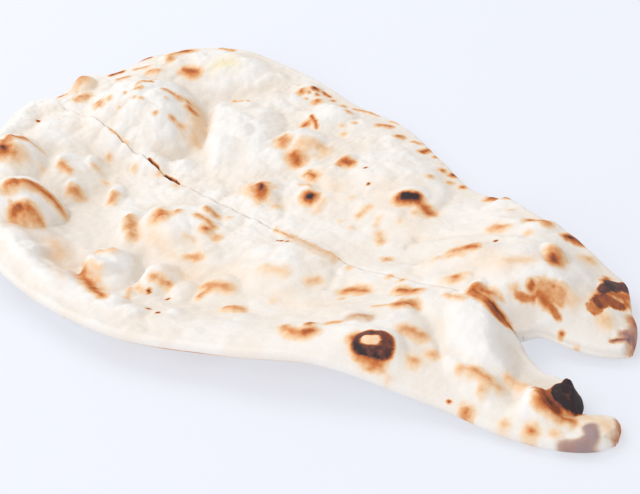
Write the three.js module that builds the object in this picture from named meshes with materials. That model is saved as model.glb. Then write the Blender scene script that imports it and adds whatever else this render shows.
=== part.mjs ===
// A leaf-shaped naan bread, cut along its length with a knife.
//
// Millimetres, +Z up, origin at the middle of the bread's footprint. The bread is drawn first in
// its own cut frame: X runs along the knife cut from the round end to the tail, the cut is Y = 0,
// and Z = 0 is the level that the bread lies on. The two halves still lie side by side, and their
// tails stand apart like a fork. The soft bread took the form of a shallow dish: its middle is
// flat, a ring round it is lifted, and the two tails droop back down to the same level.

import {
  BufferAttribute,
  BufferGeometry,
  CatmullRomCurve3,
  CurvePath,
  Group,
  LineCurve3,
  MathUtils,
  Mesh,
  MeshStandardMaterial,
  Vector2,
  Vector3,
} from 'three';

// ---- Driving dimensions, millimetres ----

const BODY_THICKNESS = 7;        // flat bread between the bubbles
const EDGE_THICKNESS = 4.4;      // at the outer edge
const EDGE_TAPER = 15;           // width over which the bread thins towards its edge
const KNIFE_GAP = 0.6;           // clear width of the knife cut

const FLAT_CENTRE = new Vector2(0, 23);
const FLAT_RADIUS = 75;          // the underside is flat inside this circle
const CREST_RADIUS = 130;        // and highest at this one
const CREST_HEIGHT = 12.5;
const TAIL_CREST_HEIGHT = 13.5;
const TAIL_RADIUS = 215;         // where the tails are back on the ground
const CREST_SOFTNESS = 0.08;     // rounding of the crest, as a share of the droop's length

const HEM_HEIGHT = 3.5;          // raised hem along the near edge of the round end
const HEM_INSET = 12;            // from the edge to the middle of the hem
const HEM_WIDTH = 8;
const HEM_END = 40;              // X at which the hem has died away
const HEM_FADE = 50;

// Outer edges from the round end to the tips of the tails.
const ROUND_END = [-153, 0];
const FAR_EDGE = [
  [-148, 6], [-150, 15], [-156, 28], [-144, 39], [-141, 60], [-129, 78], [-108, 89.5], [-85, 95.5],
  [-56, 98.5], [-24, 94.5], [4, 92.5], [37, 80.5], [63, 70.5], [92, 65.5], [116, 56.5], [136, 53.5],
  [151, 50.5], [156.5, 49.3], [163.6, 43], [172.5, 34.5], [177.5, 27.5],
];
const NEAR_EDGE = [
  [-155, -8], [-152, -17], [-145, -28], [-139, -45], [-122, -65], [-96, -80], [-70, -87],
  [-45, -90], [-14, -91], [24, -87], [43, -81], [62, -73], [80, -66], [98, -57], [117, -49],
  [131, -44], [150, -38], [171, -34], [186, -29], [196, -23], [200, -18],
];

// The cut runs straight to the fork, and from there each tail has its own inner edge.
const FORK = 147;
const FAR_TAIL_INNER = [[149, 5], [151, 8.5], [155, 10.8], [165, 13.6], [175.5, 19]];
const NEAR_TAIL_INNER = [
  [157, -3], [164, -4.5], [170, -3], [177, -4], [182.3, -8], [185, -12], [188.2, -10.4],
  [191, -7.8], [198, -9],
];
const FAR_TIP = [179, 23.2];
const NEAR_TIP = [200.6, -13.5];

// Bubbles: centre, half widths along and across their own axis, turn of that axis in degrees,
// rise over the flat bread, lean, which moves the steep side to the +axis end, and fullness: 1 is
// a parabola, less is rounder and more has a softer foot. A negative rise is a hollow.
const BUBBLES = [
  { at: [-88, 24], half: [30, 34], turn: 47, rise: 16.5, lean: 0.28, fullness: 1.05 },
  { at: [-56, 37], half: [20, 30], turn: 47, rise: 8.5, lean: -0.45, fullness: 0.85 },
  { at: [-60, 66], half: [20, 12], turn: 47, rise: 3.5, lean: 0, fullness: 1.15 },
  { at: [-20, 52], half: [13, 16], turn: 47, rise: 4.5, lean: 0, fullness: 1.15 },
  { at: [-90, 76], half: [26, 18], turn: 47, rise: 3.5, lean: 0, fullness: 1.15 },
  { at: [-27, 75], half: [14, 16], turn: 47, rise: 3, lean: 0, fullness: 1.15 },
  { at: [43, 50], half: [25, 36], turn: 47, rise: 3, lean: 0, fullness: 1.15 },
  { at: [104, 18], half: [18, 9], turn: 47, rise: 4, lean: 0, fullness: 1.15 },
  { at: [143, 22], half: [24, 25], turn: 47, rise: 6, lean: 0, fullness: 1.15 },
  { at: [161, 36], half: [8, 14], turn: 47, rise: 6, lean: 0, fullness: 1.15 },
  { at: [-139, 20], half: [7, 7], turn: 47, rise: 6, lean: 0, fullness: 1.15 },
  { at: [-97, 1], half: [21, 14], turn: 0, rise: 8.5, lean: 0, fullness: 1.15 },
  { at: [-66, 2], half: [14, 9], turn: 0, rise: 6, lean: 0, fullness: 1.15 },
  { at: [85, 0], half: [18, 12], turn: 0, rise: 2, lean: 0, fullness: 1.15 },
  { at: [-70, -57], half: [16.5, 15], turn: 47, rise: 15, lean: 0.15, fullness: 0.8 },
  { at: [-105, -44], half: [18, 21], turn: 47, rise: 12, lean: 0, fullness: 1.25 },
  { at: [-108, -12], half: [20, 21], turn: 47, rise: 4.5, lean: 0, fullness: 1.15 },
  { at: [-84, -27], half: [16, 22], turn: 47, rise: 5, lean: 0, fullness: 1.15 },
  { at: [-31, -35], half: [6, 14], turn: 47, rise: 4, lean: 0, fullness: 1.15 },
  { at: [-12, -59.5], half: [13.5, 17.5], turn: 47, rise: 8.5, lean: 0, fullness: 1 },
  { at: [9, -50], half: [10, 9.5], turn: 47, rise: 5.5, lean: 0, fullness: 1.15 },
  { at: [-16, -21], half: [18, 18], turn: 47, rise: 5.5, lean: 0, fullness: 1.15 },
  { at: [45, -15], half: [21, 20], turn: 47, rise: 5.5, lean: 0, fullness: 1.15 },
  { at: [34, -42], half: [10, 9], turn: 47, rise: 3, lean: 0, fullness: 1.15 },
  { at: [143, -12], half: [15, 24], turn: 38, rise: 7, lean: 0, fullness: 0.95 },
  { at: [120, -39], half: [10, 10], turn: 47, rise: 4.5, lean: 0, fullness: 1.15 },
  { at: [149, -24], half: [8.5, 6], turn: 47, rise: 4, lean: 0, fullness: 1.15 },
  { at: [176, -23], half: [8, 12], turn: 47, rise: 6, lean: 0, fullness: 1.15 },
  { at: [179, -11], half: [6.6, 6.8], turn: 47, rise: 9, lean: 0, fullness: 1.15 },
  { at: [198, -18], half: [7, 7], turn: 47, rise: 4, lean: 0, fullness: 1.15 },
];
const HOLLOWS = [
  { at: [-31, -70], half: [11, 16], turn: 47, rise: -3.5, lean: 0, fullness: 1.15 },
  { at: [-62, 40], half: [7, 20], turn: 60, rise: -2, lean: 0, fullness: 1.15 },
];
const BUBBLE_BLEND = 5;          // power of the mean that joins bubbles that run together

// ---- Mesh density ----

const ROWS = 86;                 // stations from the round end to the tip
const TOP_STEPS = 22;            // across the top of a half
const BOTTOM_STEPS = 7;
const NOSE_TURNS = [45, 0, -45]; // degrees round the outer edge
const END_MARGIN = 0.006;        // share of the length left to each rounded-off end
const EDGE_SAMPLES = 160;

const UP = new Vector3(0, 0, 1);
const { degToRad, lerp, smoothstep } = MathUtils;

/** Height of the underside, from the form of the dish and the droop of the tails. */
function drape(x, y) {
  const radius = Math.hypot(x - FLAT_CENTRE.x, y - FLAT_CENTRE.y);
  const rise = smoothstep(radius, FLAT_RADIUS, CREST_RADIUS);
  if (x <= 0) {
    return CREST_HEIGHT * rise;
  }
  const past = (radius - CREST_RADIUS) / (TAIL_RADIUS - CREST_RADIUS);
  const softPast = (past + Math.hypot(past, CREST_SOFTNESS)) / 2;
  return TAIL_CREST_HEIGHT * rise * Math.max(1 - softPast, 0) ** 3;
}

/** One bubble's or hollow's height at a point: a dome on an ellipse, steeper on its leaning side. */
function dome(bubble, x, y) {
  const turn = degToRad(bubble.turn);
  const dx = x - bubble.at[0];
  const dy = y - bubble.at[1];
  const along = dx * Math.cos(turn) + dy * Math.sin(turn);
  const across = dy * Math.cos(turn) - dx * Math.sin(turn);
  const reach = bubble.half[0] * (1 - Math.sign(along) * bubble.lean);
  const share = 1 - (along / reach) ** 2 - (across / bubble.half[1]) ** 2;
  return share > 0 ? bubble.rise * share ** bubble.fullness : 0;
}

/** Height of all bubbles together: neighbours run into each other without piling up. */
function bubbles(x, y) {
  const raised = BUBBLES.reduce((sum, bubble) => sum + dome(bubble, x, y) ** BUBBLE_BLEND, 0);
  const sunk = HOLLOWS.reduce((sum, hollow) => sum + dome(hollow, x, y), 0);
  return raised ** (1 / BUBBLE_BLEND) + sunk;
}

/** A smooth plan curve through points, as a three.js curve. */
function planCurve(points) {
  const knots = points.map(([x, y]) => new Vector3(x, y, 0));
  return new CatmullRomCurve3(knots, false, 'centripetal');
}

/** The inner side of one half: the straight cut up to the fork, then the inside of its tail. */
function innerCurve(cutLine, tailInner, tip) {
  const start = new Vector3(ROUND_END[0], cutLine, 0);
  const path = new CurvePath();
  path.add(new LineCurve3(start, new Vector3(FORK, cutLine, 0)));
  path.add(planCurve([[FORK, cutLine], ...tailInner, tip]));
  return path;
}

/** Distance in plan from a point to the nearest sample of the bread's free edges. */
function edgeDistance(samples, x, y) {
  return Math.sqrt(samples.reduce((best, p) => Math.min(best, (p.x - x) ** 2 + (p.y - y) ** 2), Infinity));
}

/** The raised hem along the near edge, which dies away towards the tail. */
function hem(distance, x, y) {
  if (y > 0) {
    return 0;
  }
  const fade = 1 - smoothstep(x, HEM_END - HEM_FADE, HEM_END);
  return HEM_HEIGHT * fade * Math.exp(-(((distance - HEM_INSET) / HEM_WIDTH) ** 2));
}

/** Height of the top of the bread over its underside. */
function thickness(samples, x, y) {
  const distance = edgeDistance(samples, x, y);
  const inward = smoothstep(distance, 0, EDGE_TAPER);
  const flat = lerp(EDGE_THICKNESS, BODY_THICKNESS, inward);
  return flat + inward * (bubbles(x, y) + hem(distance, x, y));
}

/** The ring of points round one half at one station, from the cut over the top and back below. */
function section(inner, outer, outward, samples) {
  const nose = Math.min(EDGE_THICKNESS / 2, 0.4 * inner.distanceTo(outer));
  const shoulder = outer.clone().addScaledVector(outward, -nose);
  const ring = [];
  for (let step = 0; step <= TOP_STEPS; step += 1) {
    const point = inner.clone().lerp(shoulder, step / TOP_STEPS);
    const floor = drape(point.x, point.y);
    point.z = floor + thickness(samples, point.x, point.y);
    ring.push(point);
  }
  const crown = ring[TOP_STEPS].z;
  const floor = drape(shoulder.x, shoulder.y);
  const middle = (crown + floor) / 2;
  for (const turn of NOSE_TURNS) {
    const angle = degToRad(turn);
    const point = shoulder.clone().addScaledVector(outward, nose * Math.cos(angle));
    point.z = middle + ((crown - floor) / 2) * Math.sin(angle);
    ring.push(point);
  }
  for (let step = 0; step <= BOTTOM_STEPS; step += 1) {
    const point = shoulder.clone().lerp(inner, step / BOTTOM_STEPS);
    point.z = drape(point.x, point.y);
    ring.push(point);
  }
  return ring;
}

/** A closed solid through equal rings, with a fan over each end. */
function loft(rings, flip) {
  const count = rings[0].length;
  const middles = [rings[0], rings.at(-1)].map((ring) => {
    const sum = ring.reduce((total, point) => total.add(point), new Vector3());
    return sum.divideScalar(count);
  });
  const positions = [...rings.flat(), ...middles].flatMap((point) => point.toArray());
  const faces = [];
  const face = (a, b, c) => faces.push(...(flip ? [a, c, b] : [a, b, c]));
  for (let row = 0; row < rings.length - 1; row += 1) {
    for (let side = 0; side < count; side += 1) {
      const a = row * count + side;
      const b = row * count + ((side + 1) % count);
      face(a, a + count, b);
      face(b, a + count, b + count);
    }
  }
  const last = (rings.length - 1) * count;
  const firstMiddle = rings.length * count;
  for (let side = 0; side < count; side += 1) {
    const next = (side + 1) % count;
    face(side, next, firstMiddle);
    face(last + next, last + side, firstMiddle + 1);
  }
  const geometry = new BufferGeometry();
  geometry.setAttribute('position', new BufferAttribute(new Float32Array(positions), 3));
  geometry.setIndex(faces);
  geometry.computeVertexNormals();
  return geometry;
}

/** One half of the bread between its side of the cut and its outer edge; side is 1 far, -1 near. */
function half(side, edge, tailInner, tip, samples) {
  const cutLine = (side * KNIFE_GAP) / 2;
  const inner = innerCurve(cutLine, tailInner, tip);
  const outer = planCurve([[ROUND_END[0], cutLine], ...edge, tip]);
  const rings = [];
  for (let row = 0; row < ROWS; row += 1) {
    const share = lerp(END_MARGIN, 1 - END_MARGIN, row / (ROWS - 1));
    const outward = outer.getTangentAt(share).cross(UP).multiplyScalar(-side);
    rings.push(section(inner.getPointAt(share), outer.getPointAt(share), outward, samples));
  }
  return loft(rings, side < 0);
}

/** Samples along every free edge of the bread, both outer edges and the insides of the fork. */
function freeEdge() {
  const curves = [
    planCurve([ROUND_END, ...FAR_EDGE, FAR_TIP]),
    planCurve([ROUND_END, ...NEAR_EDGE, NEAR_TIP]),
    planCurve([...FAR_TAIL_INNER, FAR_TIP]),
    planCurve([...NEAR_TAIL_INNER, NEAR_TIP]),
  ];
  return curves.flatMap((curve) => curve.getSpacedPoints(EDGE_SAMPLES));
}

/** A named half with its baked-dough material. */
function halfMesh(name, geometry) {
  const material = new MeshStandardMaterial({ color: 0xf1e6d6, roughness: 0.85, metalness: 0 });
  const mesh = new Mesh(geometry, material);
  mesh.name = name;
  return mesh;
}

const samples = freeEdge();
const group = new Group();
group.add(halfMesh('far_half', half(1, FAR_EDGE, FAR_TAIL_INNER, FAR_TIP, samples)));
group.add(halfMesh('near_half', half(-1, NEAR_EDGE, NEAR_TAIL_INNER, NEAR_TIP, samples)));

// The origin is the middle of the footprint, on the level that the bread lies on.
const low = new Vector3(Infinity, Infinity, Infinity);
const high = new Vector3(-Infinity, -Infinity, -Infinity);
for (const mesh of group.children) {
  mesh.geometry.computeBoundingBox();
  low.min(mesh.geometry.boundingBox.min);
  high.max(mesh.geometry.boundingBox.max);
}
group.position.set(-(low.x + high.x) / 2, -(low.y + high.y) / 2, -low.z);

export default group;
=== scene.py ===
"""A leaf-shaped tandoor naan, cut along its length with a knife, dressed over the CAD model's frame.

The bread is worked out in its own cut frame, in millimetres: X runs along the knife cut from the
round end to the forked tail, the cut is Y = 0, the far half has Y above 0 and the near half below,
and Z = 0 is the level that the bread lies on. ``CutFrame`` moves it to the row's frame, in metres.
"""

import logging
import math
from dataclasses import dataclass, field
from enum import Enum, IntEnum
from typing import Any, Sequence

import bpy
import numpy as np
from mathutils import Matrix, Vector


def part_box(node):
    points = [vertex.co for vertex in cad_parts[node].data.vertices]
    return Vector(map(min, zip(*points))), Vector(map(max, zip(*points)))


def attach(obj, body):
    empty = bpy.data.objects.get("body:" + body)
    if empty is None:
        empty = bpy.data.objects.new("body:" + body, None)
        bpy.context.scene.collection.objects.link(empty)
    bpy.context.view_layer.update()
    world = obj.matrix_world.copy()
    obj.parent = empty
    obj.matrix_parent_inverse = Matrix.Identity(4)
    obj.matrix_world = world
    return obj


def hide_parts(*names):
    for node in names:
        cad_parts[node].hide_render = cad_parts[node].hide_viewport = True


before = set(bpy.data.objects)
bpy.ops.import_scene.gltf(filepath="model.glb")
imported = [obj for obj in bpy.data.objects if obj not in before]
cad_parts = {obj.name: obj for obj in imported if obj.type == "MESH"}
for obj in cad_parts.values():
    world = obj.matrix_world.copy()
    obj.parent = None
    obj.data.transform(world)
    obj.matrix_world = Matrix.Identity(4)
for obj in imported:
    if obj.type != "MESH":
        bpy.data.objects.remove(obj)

Array = np.ndarray
Point = tuple[float, float]
Triple = tuple[float, float, float]
Rgb = tuple[int, int, int]
Rgba = tuple[float, float, float, float]

LOG = logging.getLogger("naan")
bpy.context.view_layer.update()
MM = 0.001
NO_LENGTH = 1e-9
DRESS_SEED = 3

# ---- The bread's plan, millimetres ----

KNIFE_GAP = 0.6
CUT_SHUT = 0.05
CUT_PARTING = 6.0
CUT_DRIFT = 1.2
DRIFT_RISE: Point = (40.0, 14.0)
DRIFT_FALL = 9.0
CUT_GAPES: tuple[Triple, ...] = ((-84, 4, 0.1), (-60.5, 3, 0.45), (-48, 4.5, 0.5))
ROUND_END: Point = (-153, 0)
FORK_X = 147.0
FAR_TIP: Point = (179, 23.2)
NEAR_TIP: Point = (200.6, -13.5)
FAR_EDGE: tuple[Point, ...] = (
    (-148, 6), (-150, 15), (-156, 28), (-144, 39), (-141, 60), (-129, 78), (-108, 89.5), (-85, 95.5),
    (-56, 98.5), (-24, 94.5), (4, 92.5), (37, 80.5), (63, 70.5), (92, 65.5), (116, 56.5), (136, 53.5),
    (151, 50.5), (156.5, 49.3), (160, 46.8), (163.6, 43), (168.6, 37.6), (172.5, 34.5), (175.2, 31.2),
    (177.5, 27.5),
)
NEAR_EDGE: tuple[Point, ...] = (
    (-155, -8), (-152, -17), (-145, -28), (-139, -45), (-122, -65), (-96, -80), (-70, -87),
    (-45, -90), (-14, -91), (24, -87), (43, -81), (62, -73), (80, -66), (98, -57), (117, -49),
    (131, -44), (150, -38), (171, -34), (186, -29), (196, -23), (200, -18),
)
FAR_TAIL_INNER: tuple[Point, ...] = (
    (149, 5), (151, 8.5), (155, 10.8), (160, 12), (165, 13.6), (171, 16), (175.5, 19),
)
NEAR_TAIL_INNER: tuple[Point, ...] = (
    (157, -3), (164, -4.5), (170, -3), (177, -4), (182.3, -8), (185, -12), (188.2, -10.4),
    (191, -7.8), (194.5, -6.4), (198, -9),
)

# ---- Thickness of the dough, millimetres ----

BODY_THICKNESS = 7.0
EDGE_THICKNESS = 4.4
EDGE_TAPER = 15.0
CUT_ROUNDING = 0.7
TAIL_ROUNDING = 1.8

# ---- Mesh density ----

ROWS = 560
TOP_STEPS = 124
NOSE_STEPS = 9
BOTTOM_STEPS = 26
CUT_STEPS = 8
END_MARGIN = 0.0015
EDGE_SAMPLES = 260
EDGE_BLOCK = 2000


def smoothstep(values: Array, low: float, high: float) -> Array:
    """Cubic ease from 0 at low to 1 at high: t * t * (3 - 2 t)."""
    share = np.clip((values - low) / (high - low), 0.0, 1.0)
    return share * share * (3.0 - 2.0 * share)


def bell(values: Array, middle: float, width: float) -> Array:
    """Bell curve, 1 at the middle: e to the power of less the squared distance in widths."""
    return np.exp(-(((values - middle) / width) ** 2))


def turned(x: Array, y: Array, turn: float) -> tuple[Array, Array]:
    """The same points in axes turned by an angle in radians."""
    cos, sin = math.cos(turn), math.sin(turn)
    return x * cos + y * sin, y * cos - x * sin


def between(first: Array, second: Array, shares: Array) -> Array:
    """Points at each share of the way from each first point to its second, as rows x shares x 2."""
    return first[:, None] + (second - first)[:, None] * shares[None, :, None]


class SmoothNoise:
    """Value noise in the plane: seeded numbers on a lattice, joined by smooth steps."""

    SIZE = 256
    OCTAVE_TURN = 0.6
    OCTAVE_SHIFT: Point = (17.3, 31.7)
    PUFF_SHIFT: Point = (5.3, 9.1)
    FULL_SUM = 1.6

    def __init__(self, seed: int) -> None:
        """Draws the lattice.

        Args:
            seed: The seed of the draw, so that each run gives the same bread.
        """
        self.table = np.random.default_rng(seed).uniform(-1.0, 1.0, (self.SIZE, self.SIZE))

    def at(self, x: Array, y: Array) -> Array:
        """One octave at unit scale, between -1 and 1.

        Args:
            x: Lattice X.
            y: Lattice Y.

        Returns:
            The noise at each point.
        """
        col, row = np.floor(x).astype(int), np.floor(y).astype(int)
        u, v = smoothstep(x - col, 0.0, 1.0), smoothstep(y - row, 0.0, 1.0)
        left, right = col % self.SIZE, (col + 1) % self.SIZE
        low, high = row % self.SIZE, (row + 1) % self.SIZE
        bottom = self.table[left, low] * (1 - u) + self.table[right, low] * u
        top = self.table[left, high] * (1 - u) + self.table[right, high] * u
        return bottom * (1 - v) + top * v

    def fractal(self, x: Array, y: Array, scale: float, octaves: int = 3) -> Array:
        """Octaves of halving scale and strength, each turned a little against the last.

        Args:
            x: Plan X in millimetres.
            y: Plan Y in millimetres.
            scale: Size of the largest lumps in millimetres.
            octaves: How many octaves are summed.

        Returns:
            The sum, roughly between -1 and 1.
        """
        total, strength = np.zeros_like(x), 1.0
        for octave in range(octaves):
            along, across = turned(x, y, self.OCTAVE_TURN * octave)
            shift_x, shift_y = (shift * octave for shift in self.OCTAVE_SHIFT)
            total += strength * self.at(along / scale + shift_x, across / scale + shift_y)
            scale, strength = scale / 2.0, strength / 2.0
        return total / self.FULL_SUM

    def billow(self, x: Array, y: Array, scale: float, octaves: int = 3) -> Array:
        """Octaves of the noise's size without its sign: round puffs with creases between them.

        Args:
            x: Plan X in millimetres.
            y: Plan Y in millimetres.
            scale: Size of the largest puffs in millimetres.
            octaves: How many octaves are summed.

        Returns:
            The sum, between 0 and about 1.
        """
        total = np.zeros_like(x)
        for octave in range(octaves):
            share = 0.5**octave
            shift_x, shift_y = (shift * octave for shift in self.PUFF_SHIFT)
            total += share * np.abs(self.at(x / (scale * share) + shift_x, y / (scale * share) + shift_y))
        return total


@dataclass
class PlanCurve:
    """A plan curve of short straight steps, read by share of its length."""

    points: Array
    run: Array = field(init=False)

    KNOT_STEPS = 24
    HEADING_REACH = 0.002

    def __post_init__(self) -> None:
        """Measures the curve's length up to each point."""
        steps = np.linalg.norm(np.diff(self.points, axis=0), axis=1)
        self.run = np.concatenate([[0.0], np.cumsum(steps)])

    @classmethod
    def through(cls, places: Sequence[Point]) -> "PlanCurve":
        """Centripetal Catmull-Rom: knot times grow with the square root of the knots' distance.

        Args:
            places: The knots, in order.

        Returns:
            The smooth curve through all of them.
        """
        knots = np.asarray(places, float)
        ends = 2 * knots[0] - knots[1], 2 * knots[-1] - knots[-2]
        padded = np.vstack([ends[0], knots, ends[1]])
        times = np.concatenate([[0], np.cumsum(np.linalg.norm(np.diff(padded, axis=0), axis=1) ** 0.5)])
        share = np.linspace(0, 1, cls.KNOT_STEPS, endpoint=False)[:, None]
        spans = []
        for first in range(len(padded) - 3):
            p, t = padded[first:first + 4], times[first:first + 4]
            now = t[1] + (t[2] - t[1]) * share
            a = [p[k] + (p[k + 1] - p[k]) * (now - t[k]) / (t[k + 1] - t[k]) for k in range(3)]
            b = [a[k] + (a[k + 1] - a[k]) * (now - t[k]) / (t[k + 2] - t[k]) for k in range(2)]
            spans.append(b[0] + (b[1] - b[0]) * (now - t[1]) / (t[2] - t[1]))
        return cls(np.vstack([*spans, knots[-1:]]))

    def joined(self, other: "PlanCurve") -> "PlanCurve":
        """This curve with another one added to its end."""
        return PlanCurve(np.vstack([self.points, other.points[1:]]))

    def at(self, shares: Array) -> Array:
        """Points at shares of the length, as rows of X and Y."""
        where = shares * self.run[-1]
        return np.stack([np.interp(where, self.run, self.points[:, k]) for k in (0, 1)], axis=-1)

    def heading(self, shares: Array) -> Array:
        """Unit tangents at shares of the length, from a short step to either side."""
        reach = self.HEADING_REACH
        step = self.at(np.minimum(shares + reach, 1)) - self.at(np.maximum(shares - reach, 0))
        return step / np.linalg.norm(step, axis=-1, keepdims=True)

    def share_past(self, x: float) -> float:
        """Share of the length at which the curve first passes an X."""
        past = np.argmax(self.points[:, 0] > x)
        return float(self.run[past] / self.run[-1])


def path_distance(x: Array, y: Array, path: Sequence[Point]) -> Array:
    """Distance in plan from each point to a path of straight stretches, or to a single point.

    Args:
        x: Plan X in millimetres.
        y: Plan Y in millimetres.
        path: The points that it runs through, or a single one.

    Returns:
        Distances in millimetres.
    """
    best = np.full(np.shape(x), np.inf)
    points = [np.asarray(p, float) for p in path]
    for start, end in zip(points, points[1:] or points):
        run = end - start
        length = max(float(run @ run), NO_LENGTH)
        share = np.clip(((x - start[0]) * run[0] + (y - start[1]) * run[1]) / length, 0, 1)
        best = np.minimum(best, np.hypot(x - start[0] - share * run[0], y - start[1] - share * run[1]))
    return best


@dataclass(frozen=True)
class Drape:
    """The form of a shallow dish that the soft bread took, with both tails drooping off its rim."""

    centre: Point = (0.0, 23.0)
    flat_radius: float = 75.0
    crest_radius: float = 130.0
    crest_height: float = 12.5
    tail_crest_height: float = 13.5
    tail_radius: float = 215.0
    softness: float = 0.08

    def height(self, x: Array, y: Array) -> Array:
        """Height of the underside: flat, then a smooth step up, then a cubic droop on the tail side.

        Args:
            x: Plan X in millimetres.
            y: Plan Y in millimetres.

        Returns:
            Heights in millimetres.
        """
        radius = np.hypot(x - self.centre[0], y - self.centre[1])
        rise = smoothstep(radius, self.flat_radius, self.crest_radius)
        past = (radius - self.crest_radius) / (self.tail_radius - self.crest_radius)
        soft_past = (past + np.hypot(past, self.softness)) / 2
        tail = self.tail_crest_height * np.clip(1 - soft_past, 0, 1) ** 3
        return rise * np.where(x > 0, tail, self.crest_height)


@dataclass(frozen=True)
class Dome:
    """A bubble on an oval foot, or a hollow where its rise is negative.

    Its foot is turned by ``turn`` degrees, and ``lean`` makes it longer on one side of its middle.
    """

    at: Point
    half: Point
    rise: float
    turn: float = 47.0
    lean: float = 0.0
    fullness: float = 1.15

    def height(self, x: Array, y: Array) -> Array:
        """Rise times a power of 1 less the squared distance in half widths.

        A power under 1 gives a blown-up ball, and one over 1 a flank that runs out gently.

        Args:
            x: Plan X in millimetres.
            y: Plan Y in millimetres.

        Returns:
            Heights in millimetres, nothing outside the foot.
        """
        along, across = turned(x - self.at[0], y - self.at[1], math.radians(self.turn))
        reach = self.half[0] * (1 - np.sign(along) * self.lean)
        share = np.clip(1 - (along / reach) ** 2 - (across / self.half[1]) ** 2, 0, 1)
        return self.rise * share**self.fullness


@dataclass(frozen=True)
class Furrow:
    """A crease or, with a negative depth, a ridge along a path."""

    path: tuple[Point, ...]
    depth: float
    width: float

    def height(self, x: Array, y: Array) -> Array:
        """Less the depth, times a bell curve of the distance to the path."""
        return -self.depth * bell(path_distance(x, y, self.path), 0.0, self.width)


class ToastAndShade(Enum):
    """How far a mark has toasted, as the heat at its middle: 1 is burnt black, more is black further out. A
    few marks of painted shade use the same levels for how dark they are.
    """

    WARM = 0.07
    CREAM = 0.11
    BLUSH = 0.17
    TAN = 0.27
    OCHRE = 0.42
    BROWN = 0.6
    RUST = 0.78
    DARK = 1.0
    BLACK = 1.6
    CHAR = 8.0

    def __call__(self, reach: float, *path: Point, **more: float) -> "ScorchAndShade":
        """Makes a mark that has toasted this far, or a mark of painted shade that is this dark.

        Args:
            reach: The mark's reach to either side of its path, in millimetres.
            path: The points that it runs through, or its middle.
            more: Other fields of the mark.

        Returns:
            The mark.
        """
        return ScorchAndShade(path, reach, self, **more)


@dataclass(frozen=True)
class ScorchAndShade:
    """A toasted mark on a small blister, along a path or round a single point; a few of them are painted
    shade instead of toast.
    """

    path: tuple[Point, ...]
    reach: float
    toast_and_shade: ToastAndShade
    ragged: float = 0.35
    ash: float = 0.0
    fade: float = 1.9
    most: float = 9.0

    FALL = 1.7
    LIFT = 0.17
    MOST_LIFT = 0.9
    LIFT_REACHES = 1.3
    BOX_REACHES = 3
    TEAR_REACHES = 0.7
    LEAST_TEAR = 1.2

    def _near(self, x: Array, y: Array) -> Array:
        """Which points lie in the mark's own box, a few reaches wider than its path."""
        places, margin = np.asarray(self.path, float), self.BOX_REACHES * self.reach
        low, high = places.min(0) - margin, places.max(0) + margin
        return (x > low[0]) & (x < high[0]) & (y > low[1]) & (y < high[1])

    def heat_and_shade_at(self, x: Array, y: Array, noise: SmoothNoise) -> Array:
        """Heat, or for a mark of painted shade its darkness, that falls from the path to nothing at a ragged
        rim.

        Args:
            x: Plan X in millimetres.
            y: Plan Y in millimetres.
            noise: The noise that tears the rim.

        Returns:
            Toast's heat, or the darkness of a mark of painted shade, times a power of the share of the fade
            that is left, which noise makes longer or shorter, held at the mark's most heat.
        """
        heat_and_shade, near = np.zeros_like(x), self._near(x, y)
        x, y = x[near], y[near]
        torn = path_distance(x, y, self.path) / self.reach
        torn += self.ragged * noise.fractal(x, y, max(self.TEAR_REACHES * self.reach, self.LEAST_TEAR))
        fall = np.clip(1 - torn / self.fade, 0, 1) ** self.FALL
        heat_and_shade[near] = np.minimum(self.toast_and_shade.value * fall, self.most)
        return heat_and_shade

    def lift_at(self, x: Array, y: Array) -> Array:
        """Height of the small blister that the mark sits on: a smooth step up from its foot.

        Args:
            x: Plan X in millimetres.
            y: Plan Y in millimetres.

        Returns:
            Heights in millimetres.
        """
        lift, near = np.zeros_like(x), self._near(x, y)
        share = 1 - path_distance(x[near], y[near], self.path) / (self.LIFT_REACHES * self.reach)
        lift[near] = min(self.LIFT * self.reach, self.MOST_LIFT) * smoothstep(share, 0.0, 1.0)
        return lift


WARM, CREAM, BLUSH, TAN, OCHRE, BROWN, RUST, DARK, BLACK, CHAR = ToastAndShade


@dataclass
class CutFrame:
    """Moves the bread from its cut frame in millimetres to the row's frame in metres."""

    offset: Array = field(init=False)

    def __post_init__(self) -> None:
        """Finds the cut by the far half's lowest Y, and the round end by the near half's lowest X."""
        far_low, near_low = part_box("far_half")[0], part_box("near_half")[0]
        edge = PlanCurve.through([(ROUND_END[0], -KNIFE_GAP / 2), *NEAR_EDGE, NEAR_TIP]).points
        self.offset = np.array([near_low.x / MM - edge[:, 0].min(), far_low.y / MM - KNIFE_GAP / 2, 0.0])

    def place(self, points: Array) -> Array:
        """Points in the row's frame, in metres."""
        return (points + self.offset) * MM


# ---- Where bubbles, creases and marks lie, in the cut frame ----

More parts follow.
